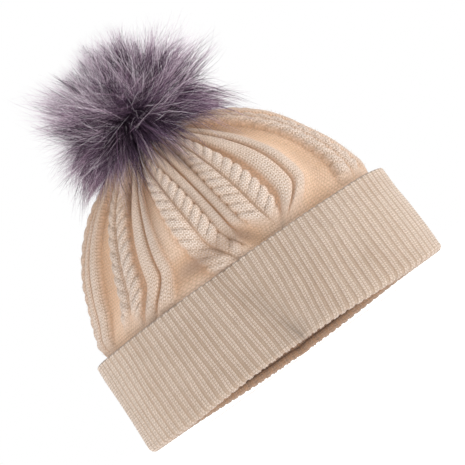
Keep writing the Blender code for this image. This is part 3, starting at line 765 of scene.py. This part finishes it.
def combed(normals, rng):
    """The way a hair's tip lies from the middle of the ball: up in front, and out at the sides."""
    low = smooth(-normals[:, 2:], 0.2, 0.8)
    flat = unit(normals[:, :2] * np.concatenate([1 + 0.4 * low, np.ones_like(low)], axis=1))
    facing = np.abs(flat[:, 1]) ** 1.5
    rise = facing * np.interp(normals[:, 2], ROOT_HEIGHT, FRONT_RISE)
    rise = np.radians(rise + (1 - facing) * np.interp(normals[:, 2], ROOT_HEIGHT, SIDE_RISE))
    return raised_by(flat, rise[:, None])


def draped(normals, rng):
    """Hairs from under the ball that hang over the top of the crown."""
    flat = unit(normals[:, :2] * np.array([1.5, 1]))
    facing = flat[:, 1] ** 2
    front, side = rng.uniform(-52, -6, len(normals)), rng.uniform(-18, 6, len(normals))
    return raised_by(flat, np.radians(front * facing + side * (1 - facing))[:, None])


def fanned(normals, rng):
    """Hairs rooted by the tie that spread like a fan over the front and the back of the ball."""
    turn = np.radians(rng.uniform(-14, 194, len(normals)))
    side = np.where(normals[:, 1] < 0, -0.85, 0.85)
    return points_at(np.cos(turn), side, np.sin(turn))


def strayed(ways, rng, stray):
    return unit(ways + stray * rng.normal(size=ways.shape))


def fur_reach(ways):
    """How far the fur reaches in each direction: a squarish ball with lobes."""
    drop = np.where(ways[:, 2] > 0, FUR_REACH[2], FUR_DROP)
    scaled = points_at(ways[:, 0] / FUR_REACH[0], ways[:, 1] / FUR_REACH[1], ways[:, 2] / drop)
    turn = (np.degrees(np.arctan2(ways[:, 2], ways[:, 0])) + 90) % 360 - 90
    lobes = np.interp(turn, *zip(*FUR_LOBES))
    return lobes * np.sum(np.abs(scaled) ** FUR_SQUARENESS, axis=-1) ** (-1 / FUR_SQUARENESS)


def hair_paths(rng, count, rings, stray, reach, clumping, highest=1, lie=combed):
    """Hairs from the pelt outwards, drawn together into clumps at their tips.

    stray is how untidily the tips lie, reach the range of lengths as shares of the ball, highest the
    level of the uppermost roots on the unit ball, and lie the way the tips point. Gives
    paths[hair, ring, 3], the ways the roots point, their clumps and how near the middle they lie,
    which the tones use for painted shade.
    """
    normals = ball_directions(rng, count, -0.985, highest)
    clump_ways = ball_directions(rng, CLUMPS, -0.985, highest)
    nearest = np.argmax(normals @ clump_ways.T, axis=1)
    clump_tips = strayed(lie(clump_ways, rng), rng, 0.14)
    clump_reach = rng.normal(1, 0.13, CLUMPS)[nearest]
    clump_bend = rng.normal(0, 0.07, (CLUMPS, 3))[nearest]
    own = strayed(lie(normals, rng), rng, stray)
    pull = clumping * (1 - 0.4 * (1 - clumping) / 0.3 * rng.uniform(0, 1, count)[:, None])
    ways = unit(own * (1 - pull) + clump_tips[nearest] * pull)
    share = reach[0] + (reach[1] - reach[0]) * rng.uniform(0, 1, count) ** 1.3
    size = fur_reach(ways) * np.minimum(clump_reach * share, LONGEST)
    roots = PELT_CENTRE + (PELT_RADIUS - 0.4 * MM) * normals
    tips = FUR_CENTRE + ways * size[:, None]
    length = np.linalg.norm(tips - roots, axis=-1, keepdims=True)
    start = unit(0.75 * normals + unit(roots - KNOT) + 0.2 * rng.normal(size=normals.shape))
    bend = roots + start * length * rng.uniform(0.3, 0.55, (count, 1))
    t = np.linspace(0, 1, rings)[None, :, None]
    paths = (1 - t) ** 2 * roots[:, None] + 2 * t * (1 - t) * bend[:, None] + t**2 * tips[:, None]
    side = unit(np.cross(ways, rng.normal(size=ways.shape)))
    wave = np.sin(math.pi * t * rng.uniform(0.8, 2.2, (count, 1, 1)))
    paths = paths + side[:, None] * wave * length[:, None] * rng.normal(0, 0.04, (count, 1, 1))
    paths = paths + clump_bend[:, None] * (np.sin(2.6 * t) * length[:, None])
    droop = np.clip(0.5 - ways[:, 2], 0, 1.5)[:, None] * t[..., 0] ** 2 * length
    paths[..., 2] -= 0.28 * droop + FUR_SAG * (ways[:, 1:2] * t[..., 0]) ** 2
    # keep off the crown, except close to the tie
    x, y, z = (paths[..., k] for k in range(3))
    floor = crown_height(x, y) + rng.uniform(1.5, 5, (count, 1)) * MM
    paths[..., 2] = np.maximum(z, np.where(np.hypot(x, y) > TIE_RADIUS, floor, -np.inf))
    # how near the middle of the front or back each tip points: where the tones paint shade
    middle = np.exp(-((ways[:, 0] / 0.6) ** 2) - ((ways[:, 2] - 0.15) / 0.5) ** 2)
    return paths, normals, nearest, middle[:, None]


def hair_mesh(name, paths, radii, tones):
    """Three-sided tubes that taper to a point; tones[hair, stretch] picks each stretch's finish."""
    count, rings, _ = paths.shape
    along = unit(np.gradient(paths, axis=1))
    spare = unit(np.cross(along, np.array([0.31, 0.77, 0.55])))
    other = np.cross(along, spare)
    turn = turns(3)
    rim = np.cos(turn)[:, None] * spare[:, :, None] + np.sin(turn)[:, None] * other[:, :, None]
    tubes = paths[:, :-1, None] + rim[:, :-1] * radii[:, :-1, None, None]
    body = 3 * (rings - 1)
    points = np.concatenate([tubes.reshape(count, body, 3), paths[:, -1:]], axis=1)
    faces, part = [], []
    for ring in range(rings - 1):
        for k in range(3):
            a, b = 3 * ring + k, 3 * ring + (k + 1) % 3
            tip = ring == rings - 2
            faces += [(a, b, body)] if tip else [(a, b, b + 3), (a, b + 3, a + 3)]
            part += [ring] if tip else [ring, ring]
    faces, part = np.array([*faces, (2, 1, 0)]), np.array([*part, 0])
    all_faces = (faces[None] + (np.arange(count) * (body + 1))[:, None, None]).reshape(-1, 3)
    mesh = bpy.data.meshes.new(name)
    fill_mesh(mesh, points.reshape(-1, 3), all_faces)
    mesh.polygons.foreach_set("material_index", tones[:, part].astype(np.int32).ravel())
    return mesh


# from near-black plum at the roots, through mauve and lilac, to silver at the tips
HAIR_COLOURS = (
    (0.018, 0.008, 0.017),
    (0.047, 0.025, 0.048),
    (0.120, 0.068, 0.120),
    (0.250, 0.152, 0.232),
    (0.44, 0.30, 0.40),
    (0.70, 0.56, 0.66),
    (0.88, 0.81, 0.87),
)


def tapered(rng, paths, thin, thick, taper):
    """Radii along each hair, from a root's radius between thin and thick (mm)."""
    root = rng.uniform(thin, thick, len(paths)) * MM
    t = np.linspace(0, 1, paths.shape[1])[None]
    return root[:, None] * (1 - taper * t) * np.minimum(1, 0.75 + t)


def clump_tone(rng, clump, spread):
    """How far each hair's tone is off: most of it is its clump's."""
    return rng.normal(0, spread, CLUMPS)[clump][:, None] + rng.normal(0, 0.4, (len(clump), 1))


def stretches(paths):
    """0 to 1 over the stretches of a hair, root to tip."""
    return np.linspace(0, 1, paths.shape[1] - 1)[None]


def fur_piece(name, paths, radii, level, darkest, palest):
    """One piece of fur; level[hair, stretch] is rounded to one of the hair colours."""
    mesh = hair_mesh(name, paths, radii, np.clip(np.round(level), darkest, palest))
    link(name, mesh, HAIR_FINISHES, "pompom", "pompom_fur")


def pompom():
    """Guard hair in four quarters, underfur, drape under the ball, fan over it, and silver hairs."""
    rng = np.random.default_rng(7)
    palest = len(HAIR_COLOURS) - 1
    ball = {"reach": (0.58, 1.10), "clumping": 0.80}
    paths, normals, clump, middle = hair_paths(rng, 22000, rings=6, stray=0.13, **ball)
    radii = tapered(rng, paths, 0.10, 0.18, 0.8)
    # painted shade: hairs near the middle of the ball's front and back get darker, more even tones, along
    # with the darker underfur that shows there
    own = clump_tone(rng, clump, 1.8) * (1 - 0.6 * middle)
    # painted light: the higher a hair's tip reaches, the paler its tones, so the top of the ball is
    # lighter
    rise = np.clip(paths[:, -1, 2:] - FUR_CENTRE[2], 0, None) / FUR_REACH[2]
    level = -0.5 + (4.2 + 3.2 * rise) * stretches(paths) ** 2.6 + own - 1.1 * middle
    quarter = np.arctan2(normals[:, 1], normals[:, 0]) // (math.pi / 2) + 2
    for i, name in enumerate(("front_left", "front_right", "back_right", "back_left")):
        pick = quarter == i
        fur_piece(f"fur_{name}", paths[pick], radii[pick], level[pick], 0, palest)

    paths = hair_paths(rng, 7000, rings=4, stray=0.3, reach=(0.42, 0.62), clumping=0.2)[0]
    radii = tapered(rng, paths, 0.12, 0.22, 0.7)
    level = rng.normal(0.7, 0.6, (len(paths), 1)) + np.array([[0, 0.2, 0.9]])
    fur_piece("underfur", paths, radii, level, 0, 3)

    drape = {"reach": (0.62, 1.02), "clumping": 0.82, "highest": -0.4, "lie": draped}
    paths, _, clump, _ = hair_paths(rng, 7100, rings=6, stray=0.13, **drape)
    radii = tapered(rng, paths, 0.13, 0.23, 0.7)
    # painted shade: the drape under the ball stays darker, most of all in front and behind, and its tips
    # never reach the palest colour
    tip = unit(paths[:, -1, :2])
    level = 0.1 + (1.6 + 1.9 * tip[:, :1] ** 2) * stretches(paths) ** 2.5 + clump_tone(rng, clump, 1)
    fur_piece("drape", paths, radii, level, 0, palest - 1)

    fan = {"reach": (0.62, 1.06), "clumping": 0.93, "highest": -0.3, "lie": fanned}
    paths, _, clump, middle = hair_paths(rng, 6000, rings=6, stray=0.1, **fan)
    radii = tapered(rng, paths, 0.10, 0.18, 0.8)
    # painted shade towards the middle, as on the guard hair
    own = clump_tone(rng, clump, 1.5) * (1 - 0.7 * middle)
    fur_piece("fan", paths, radii, 4.2 * stretches(paths) ** 2.4 + own - 1.2 * middle, 0, palest)

    low_fan = {"reach": (0.5, 0.95), "clumping": 0.3, "highest": -0.5, "lie": fanned}
    high = hair_paths(rng, 2600, rings=8, stray=0.16, reach=(0.76, 1.24), clumping=0.2)[0]
    low = hair_paths(rng, 500, rings=8, stray=0.3, **low_fan)[0]
    paths = np.concatenate([high, low])
    radii = tapered(rng, paths, 0.12, 0.20, 0.7)
    level = 3 + 3.4 * stretches(paths) + rng.normal(0, 0.8, (len(paths), 1))
    fur_piece("silver_hairs", paths, radii, level, 1, palest)


# -------- threads, felt, label, pelt, fuzz

YARN_SIDES = 24
LABEL_ROWS, LABEL_COLUMNS = 45, 61
LABEL_THICK = 0.5 * MM


def plied_tube(name, path, radius, plies, pitch, closed):
    """A thread of twisted plies along path[n, 3]; an open one tapers shut at its ends."""
    if closed:
        along, lean = np.roll(path, -1, axis=0) - np.roll(path, 1, axis=0), np.array([0, 0, 1])
    else:
        along, lean = np.gradient(path, axis=0), np.array([0.97, 0.13, 0.2])
    along = unit(along)
    side = unit(lean - along * np.sum(along * lean, axis=-1, keepdims=True))
    other = np.cross(along, side)
    run, turn = run_along(path), turns(YARN_SIDES)
    twist = plies * turn[None] - math.tau * run[:, None] / pitch
    size = radius * (0.80 + 0.20 * np.abs(np.cos(0.5 * twist)))
    if not closed:
        end = np.minimum(run, run[-1] - run) / radius
        size = size * np.sqrt(np.clip(0.02 + end, 0, 1))[:, None]
    ring = np.cos(turn)[None, :, None] * side[:, None] + np.sin(turn)[None, :, None] * other[:, None]
    mesh = grid_mesh(name, path[:, None] + ring * size[..., None], closed)
    if not closed:
        close_ends(mesh, YARN_SIDES)
    return mesh


def spaced(path, gap):
    """The same path with points this far apart."""
    run = run_along(path)
    at = np.linspace(0, run[-1], max(3, round(run[-1] / gap)))
    return points_at(*(np.interp(at, run, path[:, k]) for k in range(3)))


def seams(crown_inside):
    """Linking seams up the back: a plied yarn that lies inside the crown and the band."""
    path = crown_inside[crown_inside[:, 2] > CROWN_LEVEL + 3 * MM]
    path = path[path[:, 1] > 24 * MM]  # the gathers at the top have no seam
    inward = unit(np.cross(np.gradient(path, axis=0), np.array([1, 0, 0])))
    inward *= np.sign(-inward[:, 1:2])
    high = spaced(path + inward * MM, 0.7 * MM)
    parts = np.linspace(0.05, 0.94, 60)
    low = np.array([band_point(np.array([0.5]), KNIT + MM, part)[0] for part in parts])
    for layer, route in (("crown", high), ("band", low)):
        name = f"{layer}_seam_yarn"
        mesh = plied_tube(name, route, 1.15 * MM, 2, 3.4 * MM, False)
        link(name, mesh, [SEAM_YARN], "hat", f"{layer}_back_seam")


def gather_thread(name, node, body, waves):
    """A drawn-up thread: a plied ring that dips where it passes through the fabric."""
    low, high = box(node)
    radius = 0.5 * (high[2] - low[2])
    size = 0.5 * (high[0] - low[0]) - radius
    turn = turns(240)
    dip = 0.25 * MM * np.cos(waves * turn)
    path = circle(size + dip, turn, 0.5 * (low[2] + high[2]) + dip)
    around_once = math.tau * size
    mesh = plied_tube(name, path, radius, 2, around_once / round(around_once / (3 * MM)), True)
    link(name, mesh, [THREAD], body, node)


def felt_washer(name, node, hole, body):
    """A die-cut felt ring: a soft edge, and faces that are not quite flat."""
    low, high = box(node)
    size, middle, half = high[0], 0.5 * (low[2] + high[2]), 0.5 * (high[2] - low[2])
    turn = turns(96)
    # (radius, side): along the lower face, up the edge and back along the upper face
    corners = [(hole, -0.8), (hole + 0.3 * MM, -1)]
    corners += [(r, -1) for r in np.linspace(hole + 2 * MM, size - 0.6 * MM, 7)]
    corners += [(size - 0.1 * MM, -0.6), (size, 0)]
    corners += [(r, -side) for r, side in corners[-2::-1]]
    rows = []
    for radius, side in corners:
        reach = radius + 0.12 * MM * np.sin(23 * turn + 9 * side) * (radius > hole + MM)
        level = middle + half * side - 0.12 * MM * side * np.abs(np.sin(5 * turn + radius / (2 * MM)))
        rows.append(circle(reach, turn, level))
    link(name, grid_mesh(name, rows, True), [FELT], body, node)


def label_place(x, z, stand_off):
    """Points beside the band's inner face at the back."""
    part = (z - BAND_FOOT_GAP) / (BAND_TOP_LEVEL - BAND_FOOT_GAP)
    half = BAND_FOOT_HALF + (BAND_TOP_HALF - BAND_FOOT_HALF) * part - KNIT
    y = half[1] * (1 - np.abs(x / half[0]) ** OVAL_POWER) ** (1 / OVAL_POWER) - stand_off
    return points_at(x, y, z)


def care_label():
    """A blank satin tab: sewn along its top edge, with a loose foot that curls off the band."""
    low, high = box("care_label")
    x = np.linspace(low[0], high[0], LABEL_COLUMNS)
    rows = []
    for z in np.linspace(high[2], low[2], LABEL_ROWS):
        loose = 1 - (z - low[2]) / (high[2] - low[2])
        curl = 0.7 * MM + 2.2 * MM * loose**2 * (0.7 + 0.3 * np.sin(x / (5 * MM)))
        # both faces and the two side edges are one ring
        rows.append(np.concatenate([label_place(x, z, curl + LABEL_THICK), label_place(x, z, curl)[::-1]]))
    mesh = grid_mesh("care_label_tab", rows[::-1], False)
    sides = []
    for first in (0, (LABEL_ROWS - 1) * 2 * LABEL_COLUMNS):
        for c in range(LABEL_COLUMNS - 1):
            across = first + 2 * LABEL_COLUMNS - 1 - c
            sides.append((first + c, first + c + 1, across - 1, across))
    close_rings(mesh, sides, turn_out=True)
    tab = link("care_label_tab", mesh, [TAPE], "hat", "care_label")
    run = np.linspace(low[0] + 1.5 * MM, high[0] - 1.5 * MM, 240)
    path = label_place(run, high[2] - 1.6 * MM, 0.9 * MM + 0.35 * MM * np.cos(math.tau * run / (3 * MM)))
    path[:, 2] += 0.1 * MM * np.sin(run / (2.1 * MM))
    mesh = plied_tube("label_stitches", path, 0.28 * MM, 2, 1.4 * MM, False)
    link("label_stitches", mesh, [THREAD], "hat", "care_label_stitching")
    return tab


def pelt():
    """The suede side of the fur: a disc of pelt drawn up into a sack, with pleats at its neck."""
    turn = turns(144)
    pleats = 0.5 + 0.5 * np.cos(22 * turn + 2 * np.sin(3 * turn))
    angles = np.linspace(-math.acos(7.2 * MM / PELT_RADIUS), 0.5 * math.pi, 30)
    outside = [(angle, PELT_RADIUS - 0.3 * MM) for angle in angles]
    rows = []
    for angle, radius in outside + [(angle, PELT_RADIUS - 1.2 * MM) for angle in angles[::-1]]:
        level = PELT_CENTRE[2] + radius * np.sin(angle)
        low = smooth(PELT_CENTRE[2] - level, 0, PELT_RADIUS)
        reach = max(radius * np.cos(angle), 0.02 * MM) * (1 - 0.06 * low * pleats)
        rows.append(circle(reach, turn, level))
    mesh = grid_mesh("pelt_sack", rows, True)
    return link("pelt_sack", mesh, [SUEDE], "pompom", "pompom_pelt")


def stuffing():
    """A lumpy ball of fibre fill inside the pelt."""
    low, high = box("pompom_stuffing")
    radius = 0.5 * (high[0] - low[0]) - 1.2 * MM
    turn = turns(96)
    rows = []
    for angle in np.linspace(-0.4999 * math.pi, 0.4999 * math.pi, 48):
        lumps = np.sin(3 * turn + 4 * angle) * np.cos(5 * angle)
        lumps = lumps + 0.6 * np.sin(7 * turn - 6 * angle)
        reach = radius + 0.5 * MM * lumps * math.cos(angle)
        rows.append(circle(reach * math.cos(angle), turn, PELT_CENTRE[2] + reach * math.sin(angle)))
    mesh = grid_mesh("fibre_fill", rows, False)
    close_ends(mesh, len(turn))
    return link("fibre_fill", mesh, [FILL], "pompom", "pompom_stuffing")


def fuzz(name, points, normals, count, length, colours, node):
    """Short loose fibres that stand off the wool."""
    rng = np.random.default_rng(31)
    rows, cols = points.shape[:2]
    r, c = rng.integers(1, rows - 1, count), rng.integers(0, cols, count)
    root, out = points[r, c], normals[r, c]
    size = length * rng.uniform(0.4, 1, (count, 1))
    lean = unit(out + 0.9 * rng.normal(size=out.shape))
    curl = unit(lean + 0.9 * rng.normal(size=out.shape))
    middle = root + lean * 0.55 * size
    paths = np.stack([root - out * 0.2 * MM, middle, middle + curl * 0.5 * size], axis=1)
    paths[..., 2] = np.maximum(paths[..., 2], 0.1 * MM)
    radii = np.array([[1, 0.8, 0]]) * rng.uniform(0.03, 0.055, (count, 1)) * MM
    tones = np.repeat(rng.integers(0, len(colours), (count, 1)), 2, axis=1)
    mesh = hair_mesh(name, paths, radii, tones)
    return link(name, mesh, hair_materials(name, colours, 0.8), "hat", node)


# -------- stage, light and camera

FRAME_SPAN = 0.3009  # what the picture takes in at the hat's middle
VIEW_DISTANCE = 1.4
VIEW_LEVEL = 0.012
AIM = Vector((0.0097, 0, 0.091))
ROLL = math.radians(35.4)
LIGHT_AIM = Vector((0, 0, 0.12))
WORLD_LIGHT = 0.36
FLOOR_HALF = 40
FLOOR_LEVEL = -0.0005


def aimed(where, target):
    """Stand at a place and look at another."""
    look = (target - where).to_track_quat("-Z", "Y")
    return Matrix.Translation(where) @ look.to_matrix().to_4x4()


def add_camera():
    """A long lens almost at the floor, rolled as the hat lies."""
    data = bpy.data.cameras.new("camera")
    camera = add_object("camera", data)
    where = Vector((AIM.x, -VIEW_DISTANCE, VIEW_LEVEL))
    camera.matrix_world = aimed(where, AIM) @ Matrix.Rotation(-ROLL, 4, "Z")
    data.sensor_width = 36
    data.lens = data.sensor_width * (AIM - where).length / FRAME_SPAN
    data.clip_start = 0.05
    bpy.context.scene.camera = camera


def add_light(name, where, size, power, colour=(1, 1, 1)):
    """A round light that looks at the middle of the hat."""
    data = bpy.data.lights.new(name, "AREA")
    data.shape = "DISK"
    data.size = size
    data.energy = power
    data.color = colour
    add_object(name, data).matrix_world = aimed(Vector(where), LIGHT_AIM)


def add_world():
    """Even white light, at full strength only where the background itself is seen."""
    world = bpy.data.worlds.new("studio")
    world.use_nodes = True
    bpy.context.scene.world = world
    n = Nodes(world.node_tree)
    strength = n.add("ShaderNodeMix", {"Factor": n.add("ShaderNodeLightPath"), 2: WORLD_LIGHT, 3: 1})
    background = world.node_tree.nodes["Background"].inputs
    background["Color"].default_value = (1, 1, 1, 1)
    n.feed(background["Strength"], strength)


def add_floor():
    """White paper under the hat; its own glow keeps it white in the shade."""
    mesh = bpy.data.meshes.new("floor")
    corners = [(x * FLOOR_HALF, y * FLOOR_HALF, 0) for x, y in ((-1, -1), (1, -1), (1, 1), (-1, 1))]
    mesh.from_pydata(corners, [], [(0, 1, 2, 3)])
    n = principled("floor_paper", 0.95, Emission_Color=(1, 1, 1, 1), Emission_Strength=0.8)
    paper = n.mix(n.noise(30), (0.86, 0.86, 0.86, 1), (0.89, 0.89, 0.89, 1))
    n.feed(n.shader["Base Color"], paper)
    mesh.materials.append(n.material)
    floor = add_object("floor", mesh)
    floor.location.z = FLOOR_LEVEL


bpy.context.scene.view_settings.view_transform = "Standard"
add_world()
add_floor()
add_camera()
add_light("left", (-1.4, -0.35, 0.55), 0.9, 8.6, (1, 0.99, 0.97))
add_light("right", (1.4, -0.35, 0.45), 0.9, 13.4, (1, 0.99, 0.97))
add_light("top", (0, -0.25, 1.5), 0.9, 6)
add_light("front", (-0.02, -1.7, 0.005), 0.008, 3.4)


# -------- the hat

CUFF_WOOL = knit_material(
    "cuff_wool", (0.76, 0.64, 0.555, 1), (0.34, 0.215, 0.13, 1), (0.33, 0.24, 0.17, 1), 0.5 * MM
)
CROWN_WOOL = knit_material(
    "crown_wool", (0.81, 0.70, 0.63, 1), (0.73, 0.48, 0.315, 1), (0.42, 0.275, 0.175, 1), 0.6 * MM
)
SEAM_YARN = yarn_material("seam_yarn", (0.76, 0.62, 0.50, 1), (0.50, 0.36, 0.26, 1), 120)
THREAD = yarn_material("thread", (0.68, 0.57, 0.48, 1), (0.42, 0.32, 0.25, 1), 300)
FELT = yarn_material("felt", (0.60, 0.50, 0.40, 1), (0.44, 0.35, 0.27, 1), 60)
STEEL, SUEDE, TAPE, FILL = steel_material(), suede_material(), tape_material(), fill_material()
HAIR_FINISHES = hair_materials("fur_tone", HAIR_COLOURS, 0.42, Specular_IOR_Level=0.2)

cuff, cuff_face = cuff_turn_up()
band = inner_band()
dome, dome_face, dome_normals, dome_inside = crown()
cuff_fuzz = fuzz(
    "cuff_fuzz", cuff_face, grid_normals(cuff_face), 9000, 2.6 * MM,
    ((0.80, 0.72, 0.64), (0.66, 0.54, 0.44)), "cuff_turn_up",
)
dome_fuzz = fuzz(
    "crown_fuzz", dome_face, dome_normals, 12000, 3 * MM,
    ((0.84, 0.75, 0.67), (0.72, 0.56, 0.43)), "crown_knit",
)
seams(dome_inside)
gather_thread("crown_drawing_yarn", "crown_gather_thread", "hat", 18)
gather_thread("pelt_drawstring", "pompom_gather_thread", "pompom", 11)
felt_washer("felt_washer", "crown_reinforcement_disc", 3 * MM, "hat")
felt_washer("felt_base", "pompom_base_disc", 1.8 * MM, "stud")
for steel_node in ("snap_cap", "snap_socket", "snap_ring_spring", "snap_stud", "snap_stud_post"):
    for material_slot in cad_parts[steel_node].material_slots:
        material_slot.material = STEEL
tab = care_label()
sack = pelt()
fill = stuffing()
pompom()
